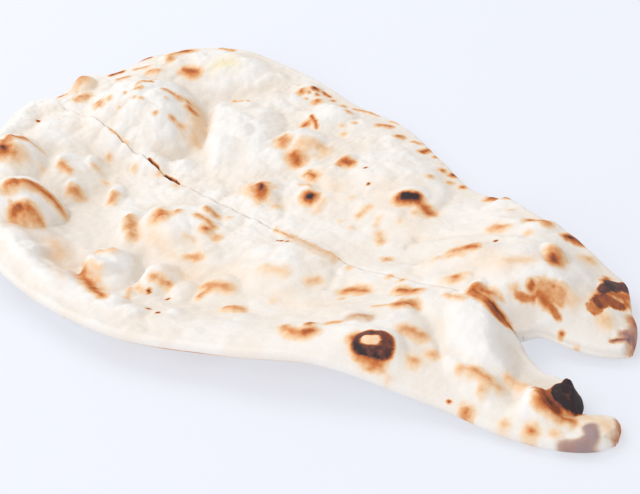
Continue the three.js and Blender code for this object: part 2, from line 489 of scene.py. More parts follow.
DOMES: tuple[Dome, ...] = (
    # The far half, from its round end to its tail.
    Dome((-88, 24), (30, 34), 16.5, lean=0.28, fullness=1.05),
    Dome((-56, 37), (20, 30), 8.5, lean=-0.45, fullness=0.85),
    Dome((-31, 35), (21, 23), 3.6, turn=0, fullness=1.2), Dome((-60, 66), (20, 12), 3.5),
    Dome((-20, 52), (13, 16), 4.5), Dome((-90, 76), (26, 18), 3.5), Dome((-27, 75), (14, 16), 3),
    Dome((43, 50), (25, 36), 3), Dome((104, 18), (18, 9), 4), Dome((143, 22), (24, 25), 6),
    Dome((161, 36), (8, 14), 6),
    # Along the cut, shared by both halves.
    Dome((-97, 1), (21, 14), 8.5, turn=0), Dome((-66, 2), (14, 9), 6, turn=0),
    Dome((85, 0), (18, 12), 2, turn=0),
    # The near half, from its round end to its tail.
    Dome((-70, -57), (16, 14.5), 15, fullness=0.8, lean=0.15),
    Dome((-105, -44), (18, 21), 12, fullness=1.25), Dome((-108, -12), (20, 21), 4.5),
    Dome((-84, -27), (16, 22), 5), Dome((-59, -25), (5, 10), 3.5), Dome((-31, -35), (6, 14), 4),
    Dome((-12, -59.5), (13.5, 17.5), 7.8, fullness=1.1), Dome((9, -50), (10, 9.5), 5.5),
    Dome((23, -49), (7, 8), 2.5), Dome((-16, -21), (18, 18), 5.5), Dome((45, -15), (21, 20), 5.5),
    Dome((34, -42), (10, 9), 3), Dome((143, -12), (15, 24), 7, turn=38, fullness=0.95),
    Dome((120, -39), (10, 10), 4.5), Dome((149, -24), (8.5, 6), 4), Dome((176, -23), (8, 12), 6),
    Dome((198, -18), (7, 7), 4),
)
BLISTERS: tuple[Dome, ...] = (
    Dome((-139, 19.5), (6.5, 7), 4.5, fullness=0.7), Dome((179.2, -11.4), (6.4, 6.8), 5.4, fullness=0.65),
    Dome((176.6, -7.5), (2.2, 2.2), 2.2), Dome((-52, 10), (6.5, 7), 3), Dome((-5, 15), (10, 13), 3.5),
    Dome((14, 25), (6, 7.5), 2), Dome((53, 46), (9, 8), 2.5), Dome((-53, 88), (6.5, 8.5), 2.5),
    Dome((8, 53), (5, 6), 2.5), Dome((88, 61), (8, 5.5), 2), Dome((119, 49), (8, 5.5), 2),
    Dome((136, 37), (5.5, 9), 3), Dome((146, 18), (11.5, 14), 1.5), Dome((128, 5), (3.5, 5), 2),
    Dome((-16, -65), (5, 6), 1.6), Dome((-14, -54), (4.5, 3), 1), Dome((-7, -63), (3.5, 4), 0.9),
    Dome((-90, -27), (4, 6.5), 2), Dome((-83, -16), (3.5, 6.5), 2), Dome((-71, -35), (5, 8), 2.5),
    Dome((-29, -21), (5.5, 7.5), 2), Dome((-11, -8), (4, 7.5), 2), Dome((50, -46), (6, 4), 1.5),
    Dome((91, -46), (7, 5.5), 2),
)
HOLLOWS: tuple[Dome, ...] = (
    Dome((-31, -70), (11, 16), -3.5), Dome((-62, 40), (7, 20), -1, turn=60),
)
FURROWS: tuple[Furrow, ...] = (
    Furrow(((-84, 50), (-73, 41), (-60, 26)), 1.6, 2), Furrow(((57, 66), (65, 55), (68, 45)), 1.6, 3),
    Furrow(((74, 20), (75, 27)), 1, 1.6), Furrow(((74, 27), (92, 35), (104, 39), (119, 42)), 0.8, 2),
    Furrow(((139, 25), (148, 26)), -1.2, 3), Furrow(((4, 17), (11, 14), (16, 9)), 0.9, 1.8),
    Furrow(((-101, -22), (-99, -33)), 1.5, 3), Furrow(((-97, 61), (-88, 63), (-79, 68.5)), 0.9, 1.8),
    Furrow(((-82, -18), (-74, -17)), 0.8, 2), Furrow(((-27, -65), (-12, -72), (0, -75), (8, -75)), 1.5, 3),
    Furrow(((-13, -43), (-4, -48), (2, -54)), 2.6, 2.5),
    Furrow(((-23, -59), (-17, -61), (-10, -60)), 1.3, 2.2),
    Furrow(((-8, -71), (-4, -65), (-3, -58)), 1.2, 2.2), Furrow(((9, -46), (17, -46), (26, -50)), 0.6, 2),
    Furrow(((30, -72), (45, -82)), 0.7, 2),
    Furrow(((-45, -21), (-33, -13), (-17, -7), (-6, -9), (0, -12)), 0.6, 1.8),
    Furrow(((61, -4), (66, -8), (70, -16)), 0.8, 2),
    Furrow(((114, -13), (125, -18), (135, -23), (146, -24), (158, -21), (166, -22)), 2, 2.6),
    Furrow(((184, -11), (188, -18), (190, -24)), 1.6, 2.4),
    Furrow(((172, 21.5), (176, 25), (177, 31)), 1.2, 1.4),
    Furrow(((-70, -66), (-65.5, -62), (-64, -57), (-61.5, -55), (-59, -54)), 1.6, 1.7),
)
FAR_SCORCHES_AND_SHADES: tuple[ScorchAndShade, ...] = (
    # The back edge.
    RUST(4.6, (-126, 67), (-125, 71)), OCHRE(2.8, (-124, 62), (-121.5, 59)),
    RUST(3.8, (-109, 59), (-105, 60)), OCHRE(1.8, (-113, 84), (-106, 86)), OCHRE(6, (-139, 19), ragged=0.2),
    DARK(2, (-141, 37), (-139, 41)), DARK(1.4, (-142, 53), (-139, 59)), BROWN(1.2, (-139, 63), (-138, 66)),
    BROWN(1.6, (-145, 8), (-143, 10)), OCHRE(2.2, (-122, 46), (-118, 49)), OCHRE(2, (-132, 45), (-127, 49)),
    OCHRE(2, (-129, 33), (-127, 37)),
    # The big bubble.
    BROWN(1.2, (-101, 29), (-98.5, 32)), OCHRE(1.3, (-97.5, 22), (-96.5, 25)), OCHRE(1.3, (-99, 17.5)),
    OCHRE(1.6, (-90, 19.5)), OCHRE(1.2, (-93, 18)), TAN(1.3, (-83.5, 28.5)), OCHRE(1.6, (-78.5, 18)),
    TAN(1.2, (-95, 10)), OCHRE(1.7, (-89, 31.5), (-87, 34)), OCHRE(1, (-78, 61), (-74, 62.5), (-66, 61)),
    TAN(1.5, (-99, 24), (-104, 33), (-104, 39)), OCHRE(3, (-129, 8), (-129, 14)),
    OCHRE(2.8, (-112, 10), (-105, 6)), TAN(2, (-107, 13), (-103, 11)), OCHRE(2, (-73, 23)),
    OCHRE(2.4, (-69.5, 24.5)), OCHRE(2, (-86, 34.5), (-83, 35.5)), OCHRE(2, (-82, 38.6), (-79.5, 38)),
    # The wide blush down the big bubble's right flank is painted shade on the side turned from the key lamp,
    # over a little toast.
    BROWN(2.3, (-78, 36), (-76, 36.5)), BLUSH(6, (-82, 42), (-72, 35), (-63, 25)),
    # The round bubble to its right and the marks round it.
    BROWN(4.8, (-5, 15.5), (-1, 12.5), ragged=0.5), DARK(2, (-3.5, 15), (-2, 13.5), ragged=0.6),
    TAN(4.4, (-11, 13), (-6, 11), ragged=0.5), TAN(3, (8, 12)), DARK(3.9, (17.5, 23)),
    BLACK(2.2, (17.5, 23)), TAN(1.5, (6, 28), (8, 30), (13, 28)), BROWN(2.8, (2.5, 35.8), (7, 35)),
    BROWN(4, (-26, 46.5), (-23, 44.5)), RUST(4.2, (-12, 41), (-9.5, 40)), RUST(3.2, (-31, 64.5)),
    RUST(1.1, (-33, 70), (-27, 67), (-23.5, 64.5)), TAN(6, (-15, 50), (-9, 52), ragged=0.6),
    # The far edge, from its cluster down to the waist.
    BROWN(2.8, (-54, 83.5)), DARK(2.2, (-51, 89)), BROWN(2.6, (-43, 82.5)), BROWN(1.3, (-47, 86.5)),
    BROWN(1.1, (-50.5, 84.5)), RUST(1.3, (-48, 91.5), (-44, 91)), BROWN(1.5, (-40, 89.5)),
    OCHRE(1.2, (-49, 81)), BROWN(2.3, (-32, 88)), OCHRE(2, (-21, 82)),
    OCHRE(1.4, (-26, 90), (-18, 92), (-12, 93)), TAN(2, (-16, 73)), TAN(2, (-11, 69)),
    OCHRE(1.8, (-13, 78)), BROWN(2, (-4, 84.5), (0, 87)), TAN(1.6, (-4, 91), (0, 92)), RUST(2.5, (11, 82)),
    OCHRE(1.4, (18, 83), (22, 84)), RUST(2.2, (28, 79), (28, 82)), BROWN(1.4, (34, 80)),
    BLUSH(2.4, (41, 77)), BROWN(2, (46, 72)), OCHRE(2, (49, 62)), DARK(2.3, (51, 73)), OCHRE(2, (55, 67)),
    RUST(1.8, (61, 68)),
    # The slab.
    RUST(2.9, (9.5, 49), (12.5, 50.5)), BLACK(2.8, (54, 42.5), (57, 45)),
    BROWN(3.6, (53, 40.5), (60, 44), (66, 43)), TAN(2.8, (63, 39)), BLUSH(2.6, (33, 32)),
    BLUSH(2.6, (26, 18), (24, 25)), TAN(2.6, (44, 31), (44, 25)), BLUSH(2.4, (40, 19)),
    BLUSH(2.6, (53, 28), (55, 24)), BLUSH(2.4, (47, 18)), BLUSH(2.4, (62, 31)), TAN(3, (60, 21), (64, 18)),
    OCHRE(2.6, (74, 11)), TAN(1, (21, 1)),
    # The far tail.
    RUST(2.8, (79, 65.5), (83, 66.6), (88, 66)), BLUSH(3, (97, 57)), OCHRE(3, (102, 42), (107, 42)),
    BROWN(2.5, (112, 50.8), (116.5, 51.2), (121, 50.6)), DARK(2.4, (130, 51), (134, 53)),
    OCHRE(4, (103.5, 18.5), (108.3, 22.3)), BROWN(1.8, (107, 21.5), (110.5, 23.3)),
    BLUSH(3.5, (98, 11), (100, 14)), RUST(3.4, (139.5, 32), (141.5, 30)), OCHRE(4.2, (138, 34.5)),
    TAN(4, (142, 47)), BROWN(3, (116, 6)), BLUSH(5, (114, 5), (118, 8)),
    BROWN(2.8, (129, 1.8), (131.5, 3.2), (134, 4)), OCHRE(1.4, (137.4, 5.9)),
    RUST(2.7, (146.5, 17.6), (149.5, 18.8), (151.3, 20.8), ragged=0.5, most=0.36),
    DARK(1.05, (140.8, 10.5), (142.5, 11.6), (145, 13.4), ragged=0.5, most=0.5), TAN(2.4, (139.3, 11.2)),
    DARK(1.6, (142.9, 15.7), most=0.6), BROWN(1.1, (148.5, 20.9)),
    DARK(1.1, (145.4, 15.6), (149.9, 15.9), (153.8, 15.8), ragged=0.5, most=0.5),
    RUST(1.9, (148, 16.1), (150.2, 16.1), ragged=0.5, most=0.42), RUST(1.3, (157.6, 12.6)),
    TAN(1.6, (164, 12)), BLUSH(4, (155, 23)), TAN(2, (119, 42)), BLUSH(4, (130, 19), (136, 24)),
    CHAR(3.2, (156.9, 41), (157, 44), (158.8, 46.3), ragged=0.3, ash=0.35, fade=1.1, most=0.93),
    CHAR(1.9, (158, 35), (157, 38.5), (156.9, 41), ragged=0.3, ash=0.2, fade=1.2, most=0.9),
    BROWN(1.8, (154.2, 40.5), (152.5, 44.5)),
    CHAR(2.1, (160.4, 29.8), (161.4, 32.8), (163, 34.4), (164.2, 35.8),
        ragged=0.3, ash=0.05, fade=1.35, most=0.72),
    CHAR(2, (160.8, 26.4), (160.5, 28.2), ragged=0.3, ash=0.05, fade=1.4, most=0.5),
    OCHRE(1.9, (164.4, 36.4), (165.2, 36.7), ragged=0.3),
    RUST(2.4, (158.8, 32.5), (159.4, 35), (160.5, 40), (162, 43.2), ragged=0.3, most=0.58),
    TAN(2, (158.6, 28), (158.8, 32.5), ragged=0.3), BROWN(2.2, (162.5, 40.5), (165, 38.8), ragged=0.3),
    TAN(4, (166, 26)), RUST(2.4, (171, 34.5), (173, 33), ragged=0.3, ash=0.3),
    BROWN(2.6, (175, 30), (175.5, 27), ragged=0.4, ash=0.6),
    DARK(1, (172.3, 21.4), (174.7, 24.3), (176.8, 26.6), ragged=0.4, ash=0.3),
    RUST(2, (174, 26.4), (176.4, 27), (178.2, 25.8), ragged=0.4, ash=0.5),
    OCHRE(2.2, (178, 25), (179.5, 22.5), ragged=0.4, ash=0.4),
)
NEAR_SCORCHES_AND_SHADES: tuple[ScorchAndShade, ...] = (
    # The bubbles of the round end.
    DARK(3.8, (-101, -47)), OCHRE(5.5, (-97, -45)), BROWN(3, (-104.5, -44), (-106.5, -40), (-105.5, -35)),
    TAN(2, (-105, -34), (-102, -30)), BROWN(3.2, (-72.5, -63.5), (-70, -59), (-68, -55), ragged=0.3),
    BROWN(2.6, (-68, -55), (-63.5, -52), (-59.5, -50), ragged=0.3),
    BROWN(1.2, (-72.5, -60), (-70.5, -55), (-66, -52), ragged=0.5),
    BROWN(2.7, (-65, -67.8), (-61.5, -64.5), (-58.5, -61.3), ragged=0.4),
    RUST(1.3, (-65.2, -66.4), (-62.8, -64.2), ragged=0.6), OCHRE(2.8, (-86, -30), (-81, -30)),
    BLUSH(3, (-89, -38)), TAN(2.6, (-79, -18)), TAN(2.2, (-83, -8)), BROWN(3.6, (-69, -36)),
    TAN(2.4, (-70, -20)), OCHRE(2.6, (-56, -25), (-54, -28)), TAN(2.8, (-68, -6)), TAN(2.2, (-55, -1.5)),
    # The two thin black marks along the cut, where it gapes, are painted shadow in the gap.
    TAN(2.2, (-42, -2)), BLACK(0.55, (-63.5, 0), (-57.5, 0), ragged=0.6),
    BLACK(0.6, (-53, 0), (-44, 0), ragged=0.6), TAN(0.8, (-90, -0.5), (-78, 0.5), ragged=0.6),
    # The middle.
    BROWN(4.8, (-22, -25), (-20.5, -26.3)), OCHRE(2.6, (-18, -19)),
    OCHRE(2, (-10, -15.5), (-5, -14.5), (-0.5, -15)), OCHRE(2.2, (-10, -10), (-6, -9)),
    BROWN(2.4, (-0.5, -19)), OCHRE(2.6, (5, -18)), TAN(2, (-1, -6)), OCHRE(3.4, (-34, -33), (-24, -39)),
    BLUSH(2.4, (-1, -25), (-4, -27)), OCHRE(2.8, (7, -34), (11, -32.5)), BLUSH(4.5, (44, -25), (52, -22)),
    BLUSH(3, (59, -34)), TAN(2.6, (61, -18), (63, -15)), TAN(1.4, (21.5, -0.5), (26, -0.3), (31.5, 0.3)),
    OCHRE(2, (31.5, 0), (41, -1.2), (49, -1.5), (57, -1.2), ragged=0.7, ash=0.08, most=0.19),
    TAN(2.6, (36, -2.4), (45, -4.6), (51.5, -4.2), (58, -3.6), ragged=0.8, ash=0.08, most=0.12),
    TAN(2.2, (67, -2)),
    # The near rim's inside.
    # The grey-tinged blush and cream in the hollow and on the rim's inner slope are painted shade on their
    # walls.
    BLUSH(6, (-45, -63.5), (-37, -66.5), ash=0.12), CREAM(4, (-26, -73), (-19, -77), (-12, -79), ash=0.12),
    BROWN(2.5, (-19, -68), (-12, -71), (-4, -73.3), (3.3, -74.6), (7, -74.8)),
    OCHRE(4.2, (-10, -71), (-2, -73)), TAN(4, (-20, -57.5), (-15, -55)), OCHRE(2, (-26, -61.5)),
    BLUSH(2.8, (-13.5, -66.3), (-7, -65.6)), OCHRE(2.5, (11.3, -54.3), (17.4, -51.9)),
    TAN(1.4, (6, -62), (13.5, -68.6)), TAN(1.8, (7.5, -60), (11.8, -60.7)),
    OCHRE(3.8, (30, -43), (38, -39.5)), OCHRE(2, (33, -44), (32.5, -49)),
    OCHRE(2.4, (48, -48.5), (54, -45)),
    OCHRE(2.7, (82, -47.4), (86, -49.4), (90.5, -50), (95, -48.2), (96.5, -45.5)),
    BROWN(2, (94, -48), (96, -45.8)), RUST(2, (92.2, -43.4)), OCHRE(1.5, (96, -39), (100, -36)),
    OCHRE(2.6, (102, -31.5), (107, -29.5), ash=0.3),
    # Up the near tail.
    BROWN(3.3, (78, -13.8), (85.5, -11.8)), BROWN(3.2, (100.5, -7.5), (107.5, -6.5)),
    BROWN(3.2, (110, -17), (113, -13.5)), TAN(1.5, (102, -22), (110, -17)), TAN(2.4, (82, -20)),
    OCHRE(1.8, (88, -1)), OCHRE(1.8, (95, -1)), BLUSH(3, (127, -5)),
    CHAR(4.2, (115.7, -40.1), (122.3, -37.3), ragged=0.1, fade=1.2, most=0.87),
    BROWN(2.9, (112, -40.6), (117, -42.8), (124, -41)), DARK(3.2, (116, -41.6), (121, -41.4), most=0.5),
    OCHRE(3, (122, -26), (127, -24)), OCHRE(2.6, (135, -27)), OCHRE(2.8, (132, -33)),
    # The dark marks along the cut before the fork are toasted edge on the top, and painted shade on the cut
    # face that they reach.
    BLUSH(2.4, (129, -43)), DARK(2, (130, -0.6), (133, -0.2), (137, 0), (139.5, 0), ragged=0.25, most=0.5),
    DARK(2.4, (138, -0.1), (140.5, 0), (142, 0.2), ragged=0.25, most=0.57),
    RUST(0.8, (137, 0.5), (140, 0.6), (142, 0.7), ragged=0.5),
    DARK(1.7, (140.8, -1), (142.8, -0.5), (144, 0.2), ragged=0.25, most=0.55),
    TAN(2, (120.5, -3.6), (125.6, -4.6), (130, -4.9)), TAN(2.4, (147, -26.5), (151, -25)),
    OCHRE(2.4, (152, -24.5), (157, -24)), TAN(2, (158.5, -24.5), (161, -23)), TAN(2.6, (157, -27.5)),
    TAN(2.6, (160.5, -18), (166, -17)), BROWN(3, (157, -35.5)), TAN(2.8, (170, -32)),
    BROWN(2.8, (179, -29)), TAN(2.5, (185.5, -25)),
    CHAR(5.1, (178.8, -12), (181.8, -12.4), ragged=0.2, fade=1.1),
    CHAR(2.6, (179.5, -6.5), (182.5, -9.5), ragged=0.15, fade=1.1),
    BROWN(2.8, (176.5, -21), (181, -20), (185.5, -18.2)),
    DARK(2.6, (174.5, -15.6), (177, -17.6), (180.5, -17.4), most=0.68),
    DARK(2.4, (175, -18.4), (177.6, -19.2), (180.5, -18.8), ragged=0.3, most=0.62),
    TAN(2.8, (185.5, -17.5)), BROWN(0.9, (171.2, -18.4), (174.6, -15.8)),
    RUST(3.1, (193, -17.2), (195.4, -19.2), (195.6, -22), (195.4, -24), ragged=0.15, ash=1.0, fade=1.25),
    RUST(3.5, (195.4, -24), (193.6, -25.8), (190.8, -27), ragged=0.15, ash=0.85, fade=1.25),
    BLUSH(4.5, (188.5, -14), (193, -12.5), (197.5, -13)),
    BROWN(1.4, (197, -8), (200, -11), (200.5, -14), ragged=0.3, ash=0.4),
)
PALE_WARMTH: tuple[ScorchAndShade, ...] = (
    # Wide faint warmth in the dough between the marks, on both halves.
    CREAM(9, (4, -28), (10, -30)), CREAM(9, (118, 20), (130, 17)), CREAM(8, (8, 40), (22, 34)),
    CREAM(9, (10, -46), (20, -42)), CREAM(6, (-30, -70), (-20, -74)), CREAM(9, (-18, -35), (5, -38)),
    WARM(14, (95, 30), (128, 20)), WARM(16, (35, 45), (70, 30)), WARM(12, (5, -38), (40, -30)),
    WARM(12, (60, -30), (90, -28)),
)
SPECKS: tuple[Point, ...] = (
    (-129, -14), (22, 51), (33, 42), (31, -7), (33, -6.6), (35.6, -5.8), (111, 33), (150, -36), (14, -59),
    (23, -57), (25, -67), (31, -67),
)
SCORCHES_AND_SHADES: tuple[ScorchAndShade, ...] = (
    *FAR_SCORCHES_AND_SHADES, *NEAR_SCORCHES_AND_SHADES, *PALE_WARMTH, *(BLACK(0.8, spot) for spot in SPECKS),
)
FLAKES: tuple[ScorchAndShade, ...] = (
    # Pale crust left standing on the black blister.
    CHAR(1.4, (115.9, -39.6), (118.3, -38.8), (120.5, -37.7), ragged=0.1, fade=1.1),
)
BUTTER: tuple[ScorchAndShade, ...] = (
    # A yellow stain; only its reach and its fade are used.
    TAN(6, (-98, 71), (-95, 74)),
)


@dataclass
class Relief:
    """Everything that stands on or sinks into the flat dough.

    Lengths are in millimetres. A size is that of a noise's largest lumps, and a value that ends in
    from says where in the noise a layer is read, so that layers differ.
    """

    blend: float = 5.0
    hem_height: float = 3.5
    hem_inset: float = 12.0
    hem_width: float = 8.0
    hem_end: float = 40.0
    hem_fade: float = 50.0
    hem_dip: float = 0.9
    hem_dip_at: float = -74.0
    hem_dip_width: float = 18.0
    crease_depth: float = 1.2
    crease_inset: float = 21.5
    crease_width: float = 2.6
    edge_lumps: float = 0.3
    lump_height: float = 0.35
    lump_size: float = 9.0
    lump_octaves: int = 4
    puff_height: float = 1.5
    puff_size: float = 11.0
    puff_from: float = 50.0
    puff_low: float = 0.45
    puff_calm: Point = (0.0, 60.0)
    wave_height: float = 0.9
    wave_size: float = 27.0
    wave_octaves: int = 2
    wave_from: float = 90.0
    warp: float = 2.6
    warp_size: float = 17.0
    warp_from: Point = (400.0, 700.0)
    blister_taper: float = 2.5
    pimple_seed: int = 8
    pimple_count: int = 420
    pimple_area: tuple[Point, Point] = ((-150, -90), (195, 98))
    pimple_reach: Point = (1.6, 5.0)
    pimple_rise: float = 0.13
    pimple_fullness: float = 1.5
    heat_and_shade_blend: int = 3
    most_heat_and_shade: float = 1.05
    flake_cover: float = 0.8
    ash_gain: float = 3.0
    char_height: float = 0.7
    char_size: float = 2.4
    char_heat: Point = (0.75, 1.0)
    noise_seed: int = 11
    free_edge: Array = field(init=False)
    noise: SmoothNoise = field(init=False)

    def __post_init__(self) -> None:
        """Samples every free edge: both outer edges and the insides of the fork."""
        knots = (
            [ROUND_END, *FAR_EDGE, FAR_TIP],
            [ROUND_END, *NEAR_EDGE, NEAR_TIP],
            [*FAR_TAIL_INNER, FAR_TIP],
            [*NEAR_TAIL_INNER, NEAR_TIP],
        )
        shares = np.linspace(0, 1, EDGE_SAMPLES)
        self.free_edge = np.vstack([PlanCurve.through(places).at(shares) for places in knots])
        self.noise = SmoothNoise(self.noise_seed)

    def edge_distance(self, x: Array, y: Array) -> Array:
        """Distance in plan to the nearest free edge.

        Args:
            x: Plan X in millimetres.
            y: Plan Y in millimetres.

        Returns:
            Distances in millimetres.
        """
        flat = np.stack([np.ravel(x), np.ravel(y)], axis=-1)
        nearest = [
            np.sqrt(((block[:, None, :] - self.free_edge[None]) ** 2).sum(-1).min(-1))
            for block in np.array_split(flat, max(len(flat) // EDGE_BLOCK, 1))
        ]
        return np.concatenate(nearest).reshape(np.shape(x))

    def bubbles(self, x: Array, y: Array) -> Array:
        """All domes joined by a power mean, so that neighbours don't pile up, with hollows and furrows.

        The plan is first shifted by noise, so that no bubble keeps a plain oval foot.

        Args:
            x: Plan X in millimetres.
            y: Plan Y in millimetres.

        Returns:
            Heights over the flat dough, in millimetres.
        """
        x, y = (
            x + self.warp * self.noise.fractal(x + self.warp_from[0], y, self.warp_size),
            y + self.warp * self.noise.fractal(x, y + self.warp_from[1], self.warp_size),
        )
        raised = sum(dome.height(x, y) ** self.blend for dome in DOMES) ** (1 / self.blend)
        sunk = sum(hollow.height(x, y) for hollow in HOLLOWS)
        return raised + sunk + sum(furrow.height(x, y) for furrow in FURROWS)

    def blisters(self, x: Array, y: Array) -> Array:
        """Small bubbles that stand at full height near the edge too, and seeded pimples between them.

        Args:
            x: Plan X in millimetres.
            y: Plan Y in millimetres.

        Returns:
            Heights in millimetres.
        """
        rng = np.random.default_rng(self.pimple_seed)
        spots = rng.uniform(*self.pimple_area, (self.pimple_count, 2))
        reaches = rng.uniform(*self.pimple_reach, self.pimple_count)
        height = sum(blister.height(x, y) for blister in BLISTERS)
        for (at_x, at_y), reach in zip(spots, reaches):
            near = (np.abs(x - at_x) < reach) & (np.abs(y - at_y) < reach)
            share = 1 - ((x[near] - at_x) ** 2 + (y[near] - at_y) ** 2) / reach**2
            height[near] += self.pimple_rise * reach * np.clip(share, 0, 1) ** self.pimple_fullness
        return height

    def heat_and_shade(self, x: Array, y: Array) -> Array:
        """Heat of all marks together, toast and painted shade alike, joined by a power mean, less what the
        pale flakes hide.

        Args:
            x: Plan X in millimetres.
            y: Plan Y in millimetres.

        Returns:
            Heat, where 1 is burnt black; the marks of painted shade read on the same scale.
        """
        summed = sum(mark.heat_and_shade_at(x, y, self.noise) ** self.heat_and_shade_blend for mark in SCORCHES_AND_SHADES)
        hidden = sum(flake.heat_and_shade_at(x, y, self.noise) for flake in FLAKES)
        joined = np.minimum(summed ** (1 / self.heat_and_shade_blend), self.most_heat_and_shade)
        return joined * (1 - np.clip(hidden, 0, self.flake_cover))

    def ash(self, x: Array, y: Array) -> Array:
        """Share of grey over the toast, from the marks that carry it: ash on burnt crust, and a little
        painted shade in the hollow inside the near rim.
        """
        return np.maximum.reduce([
            mark.ash * np.clip(mark.heat_and_shade_at(x, y, self.noise) / mark.toast_and_shade.value * self.ash_gain, 0, 1)
            for mark in SCORCHES_AND_SHADES if mark.ash
        ])

    def hem(self, x: Array, y: Array, distance: Array) -> Array:
        """Bell-shaped swelling along the near edge, less the crease inside it; dips once and ends.

        Args:
            x: Plan X in millimetres.
            y: Plan Y in millimetres.
            distance: Distance to the nearest free edge.

        Returns:
            Heights in millimetres.
        """
        ridge = self.hem_height * bell(distance, self.hem_inset, self.hem_width)
        crease = self.crease_depth * bell(distance, self.crease_inset, self.crease_width)
        fade = (1 - smoothstep(x, self.hem_end - self.hem_fade, self.hem_end)) * (y < 0)
        return fade * (1 - self.hem_dip * bell(x, self.hem_dip_at, self.hem_dip_width)) * (ridge - crease)

    def lumps(self, x: Array, y: Array) -> Array:
        """Fine lumps and round puffs of noise; the puffs calm down towards the tail."""
        lively = self.puff_low + (1 - self.puff_low) * (1 - smoothstep(x, *self.puff_calm))
        round_noise = self.noise.billow(x, y + self.puff_from, self.puff_size, self.lump_octaves)
        fine_noise = self.noise.fractal(x, y, self.lump_size, self.lump_octaves)
        return self.lump_height * fine_noise + self.puff_height * lively * round_noise

    def thickness(self, x: Array, y: Array) -> Array:
        """Thickness of the dough: thin at its edge, with bubbles, hem and small lumps inside it.

        Args:
            x: Plan X in millimetres.
            y: Plan Y in millimetres.

        Returns:
            Thicknesses in millimetres.
        """
        distance = self.edge_distance(x, y)
        inward = smoothstep(distance, 0.0, EDGE_TAPER)
        slow_noise = self.noise.fractal(x, y + self.wave_from, self.wave_size, self.wave_octaves)
        lifts = np.maximum.reduce([mark.lift_at(x, y) for mark in (*SCORCHES_AND_SHADES, *FLAKES)])
        charred = smoothstep(self.heat_and_shade(x, y), *self.char_heat)
        char = self.char_height * charred * self.noise.fractal(x, y, self.char_size)
        flat = EDGE_THICKNESS + (BODY_THICKNESS - EDGE_THICKNESS) * inward + lifts + char
        large = inward * (self.bubbles(x, y) + self.hem(x, y, distance) + self.wave_height * slow_noise)
        lumpy = (self.edge_lumps + (1 - self.edge_lumps) * inward) * self.lumps(x, y)
        return flat + large + lumpy + smoothstep(distance, 0.0, self.blister_taper) * self.blisters(x, y)


def cut_opening(x: Array) -> Array:
    """Half width of the knife cut: bells where it gapes, wider where the tails part, else shut."""
    gapes = sum(wide * bell(x, at, long) for at, long, wide in CUT_GAPES)
    return CUT_SHUT + gapes + (KNIFE_GAP / 2 - CUT_SHUT) * smoothstep(x, FORK_X - CUT_PARTING, FORK_X)


def cut_drift(x: Array) -> Array:
    """Sideways drift of the knife cut towards the far side, just before the tails part."""
    start, full = (FORK_X - before for before in DRIFT_RISE)
    return CUT_DRIFT * smoothstep(x, start, full) * (1 - smoothstep(x, FORK_X, FORK_X + DRIFT_FALL))


class Band(IntEnum):
    """The four stretches of a ring, in their order."""

    TOP = 0
    NOSE = 1
    UNDER = 2
    FACE = 3


